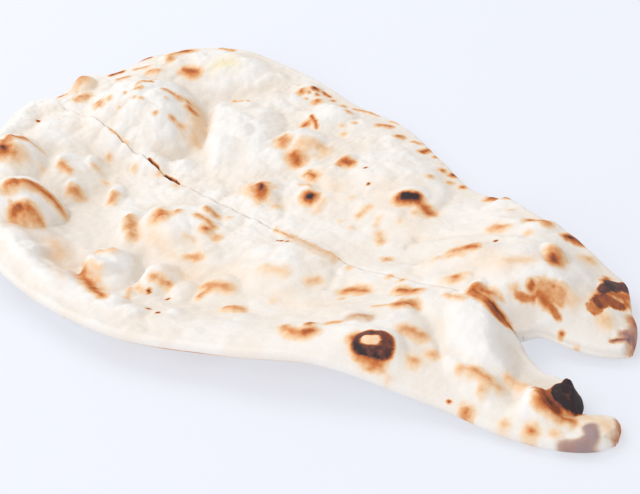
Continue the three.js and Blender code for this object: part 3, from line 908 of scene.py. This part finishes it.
@dataclass
class BreadHalf:
    """One half of the bread: a closed shell of rings that run round its section."""

    node: str
    side: int
    edge: tuple[Point, ...]
    tail_inner: tuple[Point, ...]
    tip: Point
    dimple_seed: int
    drape: Drape
    relief: Relief

    NOSE_SHARE = 0.4
    END_WIDTH = 9.0
    END_THICKNESS = 0.55
    PINCH = 0.35
    FACE_BULGE = 0.9
    ROUNDING_RUN: Point = (6.0, 8.0)
    DIMPLE_DEPTH = 0.35
    DIMPLE_SIZE = 22.0

    @property
    def name(self) -> str:
        """The piece's name, after the node that it replaces."""
        return f"{self.node}_crust"

    def curves(self) -> tuple[PlanCurve, PlanCurve]:
        """The inner side, along the cut and the inside of the tail, and the outer edge.

        Returns:
            The inner curve and the outer curve, both from the round end to the tail's tip.
        """
        cut_y = self.side * KNIFE_GAP / 2
        cut = PlanCurve.through([(ROUND_END[0], cut_y), (FORK_X / 2, cut_y), (FORK_X, cut_y)])
        tail = PlanCurve.through([(FORK_X, cut_y), *self.tail_inner, self.tip])
        return cut.joined(tail), PlanCurve.through([(ROUND_END[0], cut_y), *self.edge, self.tip])

    def rings(self) -> tuple[Array, Array]:
        """Lays the rings of points along the half.

        Returns:
            Points as rows x ring x 3 in the cut frame, and the band of each place in a ring.
        """
        inner_curve, outer_curve = self.curves()
        shares = np.linspace(END_MARGIN, 1 - END_MARGIN, ROWS)
        inner, outer = inner_curve.at(shares), outer_curve.at(shares)
        inner[:, 1] += self.side * (cut_opening(inner[:, 0]) - KNIFE_GAP / 2) * (inner[:, 0] < FORK_X)
        inner[:, 1] += cut_drift(inner[:, 0])
        heading = outer_curve.heading(shares)
        outward = np.stack([-heading[:, 1], heading[:, 0]], -1) * self.side
        width = np.linalg.norm(outer - inner, axis=-1)[:, None]
        nose = outward * np.minimum(EDGE_THICKNESS / 2, self.NOSE_SHARE * width)
        shoulder = outer - nose
        taper = smoothstep(width, 0.0, self.END_WIDTH)
        forked = shares[:, None] > inner_curve.share_past(FORK_X + 1)

        top = self._top(inner, shoulder, taper)
        under = self._under(inner, shoulder)
        face = self._face(inner, top[:, 0, 2], under[:, -1, 2], taper, forked)
        parts = (top, self._nose(shoulder, nose, top[:, -1, 2]), under, face)
        return np.concatenate(parts, 1), np.repeat(list(Band), [part.shape[1] for part in parts])

    def _top(self, inner: Array, shoulder: Array, taper: Array) -> Array:
        """The top: drape plus thickness, thinned at both ends and rounded next to the inner side.

        Args:
            inner: Plan points of the inner side, one for each row.
            shoulder: Plan points where the top meets the rounded outer edge.
            taper: From 0 at the ends of the half to 1 where it is wide.

        Returns:
            Points as rows x steps x 3.
        """
        even = np.linspace(0, 1, TOP_STEPS)
        closer_at_ends = even - self.PINCH * np.sin(2 * np.pi * even) / (2 * np.pi)
        plan = between(inner, shoulder, closer_at_ends)
        x, y = plan[..., 0], plan[..., 1]
        thick = self.relief.thickness(x, y) * (self.END_THICKNESS + (1 - self.END_THICKNESS) * taper)
        height = self.drape.height(x, y) + (thick - self._inner_rounding(inner, plan))
        return np.concatenate([plan, height[..., None]], -1)

    def _nose(self, shoulder: Array, nose: Array, crown: Array) -> Array:
        """The rounded outer edge: half an ellipse from the crown down to the underside.

        Args:
            shoulder: Plan points where the top meets the rounded outer edge.
            nose: Plan vectors from the shoulder to the outermost edge.
            crown: Heights of the top at the shoulder.

        Returns:
            Points as rows x steps x 3.
        """
        turns = np.radians(np.linspace(90, -90, NOSE_STEPS + 2)[1:-1])
        base = self.drape.height(shoulder[:, 0], shoulder[:, 1])
        plan = shoulder[:, None] + nose[:, None] * np.cos(turns)[None, :, None]
        height = ((crown + base) / 2)[:, None] + ((crown - base) / 2)[:, None] * np.sin(turns)[None]
        return np.concatenate([plan, height[..., None]], -1)

    def _under(self, inner: Array, shoulder: Array) -> Array:
        """The underside, back from the edge, with small dimples that never reach below the drape.

        Args:
            inner: Plan points of the inner side, one for each row.
            shoulder: Plan points where the top meets the rounded outer edge.

        Returns:
            Points as rows x steps x 3.
        """
        plan = between(inner, shoulder, np.linspace(1, 0, BOTTOM_STEPS))
        x, y = plan[..., 0], plan[..., 1]
        noise = SmoothNoise(self.dimple_seed)
        dimples = self.DIMPLE_DEPTH * (1 + noise.fractal(x, y, self.DIMPLE_SIZE)).clip(0, 2)
        return np.concatenate([plan, (self.drape.height(x, y) + dimples)[..., None]], -1)

    def _face(self, inner: Array, high: Array, low: Array, taper: Array, forked: Array) -> Array:
        """The inner side from underside to top: straight at the cut, bulging by a sine inside the fork.

        Args:
            inner: Plan points of the inner side, one for each row.
            high: Heights of the top over it.
            low: Heights of the underside under it.
            taper: From 0 at the ends of the half to 1 where it is wide.
            forked: Which rows lie inside the fork.

        Returns:
            Points as rows x steps x 3.
        """
        rise = np.linspace(0, 1, CUT_STEPS + 2)[1:-1]
        bulge = np.sin(np.pi * rise)[None] * (self.FACE_BULGE * forked) * taper
        plan = np.repeat(inner[:, None], CUT_STEPS, 1)
        plan[..., 1] -= self.side * bulge
        height = low[:, None] * (1 - rise) + high[:, None] * rise
        return np.concatenate([plan, height[..., None]], -1)

    def _inner_rounding(self, inner: Array, plan: Array) -> Array:
        """Drop of the top next to the inner side, a quarter round of the cut's or tail's radius.

        Args:
            inner: Plan points of the inner side, one for each row.
            plan: Plan points of the top, as rows x steps x 2.

        Returns:
            Drops in millimetres.
        """
        away = np.linalg.norm(plan - inner[:, None], axis=-1)
        before, after = self.ROUNDING_RUN
        on_tail = smoothstep(inner[:, 0], FORK_X - before, FORK_X + after)
        radius = (CUT_ROUNDING + (TAIL_ROUNDING - CUT_ROUNDING) * on_tail)[:, None]
        inside = np.clip((radius - away) / radius, 0, 1)
        return radius * (1 - np.sqrt(1 - inside**2))


def blurred(grid: Array, radius: int) -> Array:
    """A grid averaged twice over a square window of 2 radius + 1, with its border repeated outwards.

    Args:
        grid: Numbers on a grid.
        radius: How far the window reaches to either side.

    Returns:
        The smooth grid, of the same shape.
    """
    window = 2 * radius + 1
    for _ in range(2):
        for axis in (0, 1):
            pad = [(radius + 1, radius) if side == axis else (0, 0) for side in (0, 1)]
            running = np.cumsum(np.pad(grid, pad, mode="edge"), axis=axis)
            _, upper = np.split(running, [window], axis=axis)
            lower, _ = np.split(running, [-window], axis=axis)
            grid = (upper - lower) / window
    return grid


def ring_mesh(name: str, rings: Array) -> bpy.types.Mesh:
    """A closed mesh through equal rings, with a fan over each end.

    Args:
        name: The mesh's name.
        rings: Rows x ring x 3 points in metres.

    Returns:
        The mesh, its faces pointing outwards.
    """
    rows, count, _ = rings.shape
    points = np.vstack([rings.reshape(-1, 3), rings[0].mean(0), rings[-1].mean(0)])
    row, side = np.meshgrid(np.arange(rows - 1), np.arange(count), indexing="ij")
    a, b = row * count + side, row * count + (side + 1) % count
    quads = np.stack([a, a + count, b + count, b], -1).reshape(-1, 4)
    here = np.arange(count)
    after = (here + 1) % count
    last = (rows - 1) * count
    first_fan = np.stack([here, after, np.full(count, rows * count)], -1)
    last_fan = np.stack([last + after, last + here, np.full(count, rows * count + 1)], -1)
    triangles = np.vstack([first_fan, last_fan])
    loops = np.concatenate([quads.ravel(), triangles.ravel()])
    totals = np.concatenate([np.full(len(quads), 4), np.full(len(triangles), 3)])
    starts = np.concatenate([[0], np.cumsum(totals)[:-1]])
    mesh = bpy.data.meshes.new(name)
    mesh.vertices.add(len(points))
    mesh.vertices.foreach_set("co", points.ravel())
    mesh.loops.add(len(loops))
    mesh.loops.foreach_set("vertex_index", loops)
    mesh.polygons.add(len(totals))
    mesh.polygons.foreach_set("loop_start", starts)
    mesh.polygons.foreach_set("use_smooth", np.ones(len(totals), bool))
    mesh.update(calc_edges=True)
    mesh.validate()
    return mesh


def linked(name: str, data: bpy.types.ID) -> bpy.types.Object:
    """A new object of some data, linked into the scene."""
    made = bpy.data.objects.new(name, data)
    bpy.context.scene.collection.objects.link(made)
    return made


def linear(colour: Rgb, share: float = 1.0) -> Rgba:
    """An 8-bit display colour as linear light by the sRGB curve, times a share."""
    parts = [c / 255 for c in colour]
    light = [p / 12.92 if p <= 0.04045 else ((p + 0.055) / 1.055) ** 2.4 for p in parts]
    return (light[0] * share, light[1] * share, light[2] * share, 1.0)


class Wire:
    """A shader value: Python arithmetic on it adds Math nodes."""

    def __init__(self, kit: "NodeKit", socket: bpy.types.NodeSocket) -> None:
        self.kit = kit
        self.socket = socket

    def math(self, operation: str, *others: Any) -> "Wire":
        """A Math node of this value and others."""
        return self.kit.node("ShaderNodeMath", {"operation": operation}, dict(enumerate((self, *others))))

    def __add__(self, other: Any) -> "Wire":
        """Sum."""
        return self.math("ADD", other)

    __radd__ = __add__

    def __sub__(self, other: Any) -> "Wire":
        """Difference."""
        return self.math("SUBTRACT", other)

    def __rsub__(self, other: Any) -> "Wire":
        """Difference from a number."""
        return self.kit.node("ShaderNodeMath", {"operation": "SUBTRACT"}, {0: other, 1: self})

    def __mul__(self, other: Any) -> "Wire":
        """Product."""
        return self.math("MULTIPLY", other)

    __rmul__ = __mul__

    def ease(self, low: float, high: float) -> "Wire":
        """Smooth step of this value from 0 at low to 1 at high."""
        settings = {"interpolation_type": "SMOOTHSTEP"}
        inputs = {"Value": self, "From Min": low, "From Max": high}
        return self.kit.node("ShaderNodeMapRange", settings, inputs)

    def ramp(self, stops: Sequence[tuple[float, Rgba]]) -> "Wire":
        """Colour of this value on a ramp of stops."""
        return self.kit.node("ShaderNodeValToRGB", {"stops": stops}, {"Fac": self})


@dataclass(frozen=True)
class Grain:
    """A noise texture: lumps per metre, octaves of detail and how strong the finer ones are."""

    scale: float
    detail: float
    roughness: float


class NodeKit:
    """Makes the nodes of one material."""

    def __init__(self, name: str) -> None:
        """Starts an empty node material.

        Args:
            name: The material's name.
        """
        self.material = bpy.data.materials.new(name)
        self.material.use_nodes = True
        self.tree = self.material.node_tree
        self.tree.nodes.clear()

    def node(self, kind: str, settings: dict[str, Any], inputs: dict[Any, Any], output: Any = 0) -> Wire:
        """Adds one node.

        Args:
            kind: The node's type.
            settings: Properties set first; "stops" fills a colour ramp.
            inputs: Socket name or number to a value or a Wire.
            output: Name or number of the socket that is returned.

        Returns:
            The chosen output socket as a Wire.
        """
        made = self.tree.nodes.new(kind)
        for key, value in settings.items():
            if key == "stops":
                self._fill_ramp(made.color_ramp, value)
            else:
                setattr(made, key, value)
        for key, value in inputs.items():
            if isinstance(value, Wire):
                self.tree.links.new(value.socket, made.inputs[key])
            else:
                made.inputs[key].default_value = value
        return Wire(self, made.outputs[output])

    def _fill_ramp(self, ramp: bpy.types.ColorRamp, stops: Sequence[tuple[float, Rgba]]) -> None:
        """Sets a ramp's stops, which start out as two.

        Args:
            ramp: The ramp.
            stops: Positions and their colours.
        """
        while len(ramp.elements) < len(stops):
            ramp.elements.new(0.5)
        for element, (position, colour) in zip(ramp.elements, stops):
            element.position = position
            element.color = colour

    def attribute(self, name: str) -> Wire:
        """A number that the mesh carries at each vertex."""
        return self.node("ShaderNodeAttribute", {"attribute_name": name}, {}, "Fac")

    def noise(self, place: Wire, grain: Grain) -> Wire:
        """Noise around 0.5."""
        inputs = {"Vector": place, "Scale": grain.scale, "Detail": grain.detail, "Roughness": grain.roughness}
        return self.node("ShaderNodeTexNoise", {}, inputs, "Fac")

    def mix(self, factor: Any, first: Any, second: Any) -> Wire:
        """One colour laid over another; a colour Mix takes them at sockets 6 and 7 and gives socket 2."""
        return self.node("ShaderNodeMix", {"data_type": "RGBA"}, {0: factor, 6: first, 7: second}, 2)

    def finish(self, shader: Wire) -> bpy.types.Material:
        """Ends the material in its output node."""
        output = self.tree.nodes.new("ShaderNodeOutputMaterial")
        self.tree.links.new(shader.socket, output.inputs["Surface"])
        return self.material


@dataclass(frozen=True)
class CrustFinish:
    """Dry floury naan crust that toasts from cream through orange-brown to black, with painted shade in its
    valleys and in a few marks.
    """

    name: str = "naan_crust"
    light_share: float = 0.895
    dough: Rgb = (246, 242, 237)
    dough_warm: Rgb = (244, 235, 225)
    floury_lit_top: Rgb = (248, 247, 246)
    bare_shaded_valley: Rgb = (240, 229, 216)
    ashen: Rgb = (168, 146, 146)
    butter: Rgb = (246, 226, 160)
    crumb: Rgb = (240, 226, 204)
    under_toast: Rgb = (214, 170, 122)
    toast_and_shade: tuple[tuple[float, Rgb], ...] = (
        (0.0, (250, 229, 204)),
        (0.18, (246, 213, 176)),
        (0.36, (231, 170, 118)),
        (0.55, (208, 120, 62)),
        (0.73, (166, 92, 60)),
        (0.88, (116, 72, 64)),
        (1.0, (58, 48, 51)),
    )
    roughness: float = 0.82
    specular: float = 0.25
    patches: Grain = Grain(45, 3, 0.55)
    patch_span: Point = (0.42, 0.68)
    fine: Grain = Grain(420, 4, 0.6)
    coarse: Grain = Grain(160, 3, 0.6)
    flour_and_shade_break: float = 1.2
    lit_floury_span: Point = (0.0, 0.8)
    lit_floury_most: float = 0.8
    valley_shade_span: Point = (0.1, 0.9)
    valley_shade_most: float = 0.6
    butter_most: float = 0.6
    under_grain: Grain = Grain(38, 5, 0.65)
    under_span: Point = (0.46, 0.66)
    under_most: float = 0.75
    toast_and_shade_span: Point = (0.0, 0.19)
    break_span: Point = (0.02, 0.35)
    fine_break: float = 0.4
    coarse_break: float = 0.3
    ash_least: float = 0.65
    ash_break: float = 0.6
    wrinkles: Grain = Grain(260, 4, 0.62)
    wrinkle_strength: float = 0.5
    wrinkle_depth: float = 0.0009

    def build(self) -> bpy.types.Material:
        """Makes the material.

        Returns:
            A node material that reads attributes for toast and painted shade, grey ash and shade, butter,
            floury tops with painted shade in the valleys, crumb and underside.
        """
        kit = NodeKit(self.name)
        place = kit.node("ShaderNodeTexCoord", {}, {}, "Object")
        heat_and_shade, ash, butter = (kit.attribute(name) for name in ("toast_and_shade", "ash", "butter"))
        flour_and_valley_shade, crumb, under = (kit.attribute(name) for name in ("flour_and_valley_shade", "crumb", "under"))
        fine, coarse = kit.noise(place, self.fine), kit.noise(place, self.coarse)

        patches = kit.noise(place, self.patches).ease(*self.patch_span)
        base = kit.mix(patches, self._light(self.dough), self._light(self.dough_warm))
        # Tops turn floury white, partly as painted light, and valleys turn warm beige as painted shade.
        flour_and_shade_share = flour_and_valley_shade + (coarse - 0.5) * self.flour_and_shade_break
        base = kit.mix(flour_and_shade_share.ease(*self.lit_floury_span) * self.lit_floury_most, base, self._light(self.floury_lit_top))
        base = kit.mix((0.0 - flour_and_shade_share).ease(*self.valley_shade_span) * self.valley_shade_most, base, self._light(self.bare_shaded_valley))
        base = kit.mix(butter * self.butter_most, base, self._light(self.butter))
        under_patch = kit.noise(place, self.under_grain).ease(*self.under_span) * under
        base = kit.mix(under_patch * self.under_most, base, self._light(self.under_toast))

        broken = heat_and_shade + (fine - 0.5) * (heat_and_shade.ease(*self.break_span) * self.fine_break)
        broken = broken + (coarse - 0.5) * (heat_and_shade * self.coarse_break)
        stops = [(position, self._light(colour)) for position, colour in self.toast_and_shade]
        toasted_and_shaded = kit.mix(broken.ease(*self.toast_and_shade_span), base, broken.ramp(stops))
        toasted_and_shaded = kit.mix(ash * (fine * self.ash_break + self.ash_least), toasted_and_shaded, self._light(self.ashen))
        colour = kit.mix(crumb, toasted_and_shaded, self._light(self.crumb))

        bump = {"Strength": self.wrinkle_strength, "Distance": self.wrinkle_depth}
        bump["Height"] = kit.noise(place, self.wrinkles)
        inputs = {"Base Color": colour, "Roughness": self.roughness, "Specular IOR Level": self.specular}
        inputs["Normal"] = kit.node("ShaderNodeBump", {}, bump, "Normal")
        return kit.finish(kit.node("ShaderNodeBsdfPrincipled", {}, inputs))

    def _light(self, colour: Rgb) -> Rgba:
        """A display colour as the linear light that the crust gives back."""
        return linear(colour, self.light_share)


@dataclass(frozen=True)
class Lamp:
    """A square area light that shines on the middle of the bread."""

    name: str
    at: Triple
    power: float
    size: float
    colour: Triple = (1.0, 1.0, 1.0)

    def hang(self) -> None:
        """Puts the lamp in its place, turned to the middle."""
        data = bpy.data.lights.new(self.name, "AREA")
        data.energy, data.size, data.color = self.power, self.size, self.colour
        lamp = linked(self.name, data)
        lamp.location = self.at
        lamp.rotation_mode = "QUATERNION"
        lamp.rotation_quaternion = (-Vector(self.at)).to_track_quat("-Z", "Y")


@dataclass(frozen=True)
class Studio:
    """A plain pale floor, soft light and the camera."""

    camera_at: Triple = (413.21, -272.45, 309.0)
    camera_right: Triple = (0.6712, 0.7241, -0.1589)
    camera_up: Triple = (-0.3184, 0.4751, 0.8203)
    focal_length: float = 78.75
    sensor_width: float = 36.0
    floor_half: float = 6.0
    floor_drop: float = 0.0002
    floor_colour: Rgba = (0.33, 0.35, 0.4, 1.0)
    floor_roughness: float = 0.9
    floor_glow: Rgba = (0.93, 0.945, 1.0, 1.0)
    floor_glow_strength: float = 0.53
    sky_colour: Rgba = (1.0, 0.975, 0.955, 1.0)
    sky_strength: float = 0.722
    lamps: tuple[Lamp, ...] = (
        Lamp("key", (-0.9, 0.1, 1.1), 7.5, 0.9, (0.97, 0.985, 1.0)),
        Lamp("fill", (0.1, -1.0, 0.7), 6.0, 1.2),
    )

    def camera(self, cut_frame: CutFrame) -> None:
        """Puts the camera where the bread is seen from, over the near side of its tail.

        Args:
            cut_frame: What places the bread.
        """
        data = bpy.data.cameras.new("camera")
        data.lens, data.sensor_width = self.focal_length, self.sensor_width
        right, up = Vector(self.camera_right).normalized(), Vector(self.camera_up).normalized()
        turn = Matrix((right, up, right.cross(up))).transposed().to_4x4()
        camera = linked("camera", data)
        camera.matrix_world = Matrix.Translation(Vector(cut_frame.place(np.array(self.camera_at)))) @ turn
        bpy.context.scene.camera = camera

    def floor(self) -> None:
        """A wide plain floor just under the bread."""
        mesh = bpy.data.meshes.new("floor")
        signs = ((-1, -1), (1, -1), (1, 1), (-1, 1))
        corners = [(x * self.floor_half, y * self.floor_half, -self.floor_drop) for x, y in signs]
        mesh.from_pydata(corners, [], [(0, 1, 2, 3)])
        kit = NodeKit("floor")
        inputs = {"Base Color": self.floor_colour, "Roughness": self.floor_roughness}
        inputs |= {"Emission Color": self.floor_glow, "Emission Strength": self.floor_glow_strength}
        mesh.materials.append(kit.finish(kit.node("ShaderNodeBsdfPrincipled", {}, inputs)))
        floor = linked("floor", mesh)

    def lights(self) -> None:
        """The lamps and an even pale sky, shown without any film curve."""
        world = bpy.data.worlds.new("sky")
        world.use_nodes = True
        sky = world.node_tree.nodes["Background"]
        sky.inputs["Color"].default_value = self.sky_colour
        sky.inputs["Strength"].default_value = self.sky_strength
        bpy.context.scene.world = world
        for lamp in self.lamps:
            lamp.hang()
        bpy.context.scene.view_settings.view_transform = "Standard"


@dataclass
class Naan:
    """The whole bread: two halves that ride together, and how each is dressed."""

    cut_frame: CutFrame
    crust: bpy.types.Material
    noise: SmoothNoise = field(default_factory=lambda: SmoothNoise(DRESS_SEED))

    GOLD_START: Point = (-20.0, 0.0)
    GOLD_END: Point = (98.0, 112.0)
    EDGE_TOAST_AND_SHADOW_MIDDLE = 56.0
    EDGE_TOAST_AND_SHADOW_WIDTH = 10.0
    EDGE_LINE_GRAIN = 7.0
    EDGE_LINE_MEAN = 0.9
    EDGE_LINE_BREAK = 0.5
    LOW_NOSE = slice(-3, -1)
    VALLEY_RADIUS = 11
    VALLEY_DEPTH = 1.6
    CRUMB_BURN_AND_SHADE = 1.5
    CRUMB_BURN_AND_SHADE_MOST = 0.95

    def halves(self) -> list[BreadHalf]:
        """The far and the near half over one shared relief."""
        form = {"drape": Drape(), "relief": Relief()}
        return [
            BreadHalf("far_half", 1, FAR_EDGE, FAR_TAIL_INNER, FAR_TIP, dimple_seed=26, **form),
            BreadHalf("near_half", -1, NEAR_EDGE, NEAR_TAIL_INNER, NEAR_TIP, dimple_seed=27, **form),
        ]

    def toasted_edge_and_shadow(self, points: Array) -> Array:
        """Heat of the thin line low on the near edge: a faint toasted run, with a bell in its middle that is
        toasted edge and painted shadow under the edge.

        Args:
            points: Points low on the near edge, in the cut frame.

        Returns:
            The heat at each point.
        """
        x, y = points[..., 0], points[..., 1]
        faint = BLUSH.value * smoothstep(x, *self.GOLD_START) * (1 - smoothstep(x, *self.GOLD_END))
        strong = BROWN.value * bell(x, self.EDGE_TOAST_AND_SHADOW_MIDDLE, self.EDGE_TOAST_AND_SHADOW_WIDTH)
        grain = self.EDGE_LINE_MEAN + self.EDGE_LINE_BREAK * self.noise.fractal(x, y, self.EDGE_LINE_GRAIN)
        return (faint + strong) * grain.clip(0, 1)

    def flour_and_valley_shade(self, rings: Array, on_top: Array) -> Array:
        """Floury tops, lighter partly as painted light, and painted warm shade in the valleys: height over
        the blurred height, from 1 on a top to -1 in a valley.

        Args:
            rings: A half's rings in the cut frame.
            on_top: Which places of a ring are top.

        Returns:
            A share at each point, nothing away from the top.
        """
        height = rings[:, on_top, 2]
        share = np.zeros(rings.shape[:2])
        share[:, on_top] = np.clip((height - blurred(height, self.VALLEY_RADIUS)) / self.VALLEY_DEPTH, -1, 1)
        return share

    def masks(self, half: BreadHalf, rings: Array, band: Array) -> dict[str, Array]:
        """What the crust's finish reads at each point of a half.

        Args:
            half: The half.
            rings: Its rings in the cut frame.
            band: The band of each place in a ring.

        Returns:
            Attribute names to values, as rows x ring.
        """
        x, y = rings[..., 0], rings[..., 1]
        under, baked = band == Band.UNDER, band <= Band.NOSE
        heat_and_shade = half.relief.heat_and_shade(x, y) * ~under
        if half.side < 0:
            low = np.flatnonzero(band == Band.NOSE)[self.LOW_NOSE]
            heat_and_shade[:, low] = np.maximum(heat_and_shade[:, low], self.toasted_edge_and_shadow(rings[:, low]))
        # The cut face takes the marks' colour where they touch the cut: toasted edges, and painted shadow
        # where the cut gapes.
        burnt_and_shaded = np.clip(self.CRUMB_BURN_AND_SHADE * heat_and_shade, 0, self.CRUMB_BURN_AND_SHADE_MOST)
        stains = sum(stain.heat_and_shade_at(x, y, self.noise) / stain.toast_and_shade.value for stain in BUTTER)
        return {
            "toast_and_shade": heat_and_shade,
            "ash": half.relief.ash(x, y) * baked,
            "butter": stains * baked,
            "flour_and_valley_shade": self.flour_and_valley_shade(rings, band == Band.TOP),
            "crumb": (band == Band.FACE) * (x < FORK_X) * (1 - burnt_and_shaded),
            "under": under * np.ones_like(x),
        }

    def build(self, half: BreadHalf) -> None:
        """Makes one half's piece, with its attributes and its place on the frame.

        Args:
            half: The half.
        """
        rings, band = half.rings()
        turn = slice(None, None, half.side)
        mesh = ring_mesh(half.name, self.cut_frame.place(rings)[:, turn])
        for name, values in self.masks(half, rings, band).items():
            ends = values[0].mean(), values[-1].mean()
            layer = mesh.attributes.new(name, "FLOAT", "POINT")
            layer.data.foreach_set("value", np.append(values[:, turn], ends).astype(np.float32))
        mesh.materials.append(self.crust)
        piece = linked(half.name, mesh)
        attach(piece, "root")
        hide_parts(half.node)
        LOG.info("%s: %d triangles", half.name, sum(len(p.vertices) - 2 for p in mesh.polygons))


def main() -> None:
    """Builds the bread and its studio."""
    logging.basicConfig(level=logging.INFO, format="%(name)s: %(message)s")
    cut_frame = CutFrame()
    naan = Naan(cut_frame, CrustFinish().build())
    for half in naan.halves():
        naan.build(half)
    studio = Studio()
    studio.floor()
    studio.lights()
    studio.camera(cut_frame)


if __name__ == "__main__":
    main()
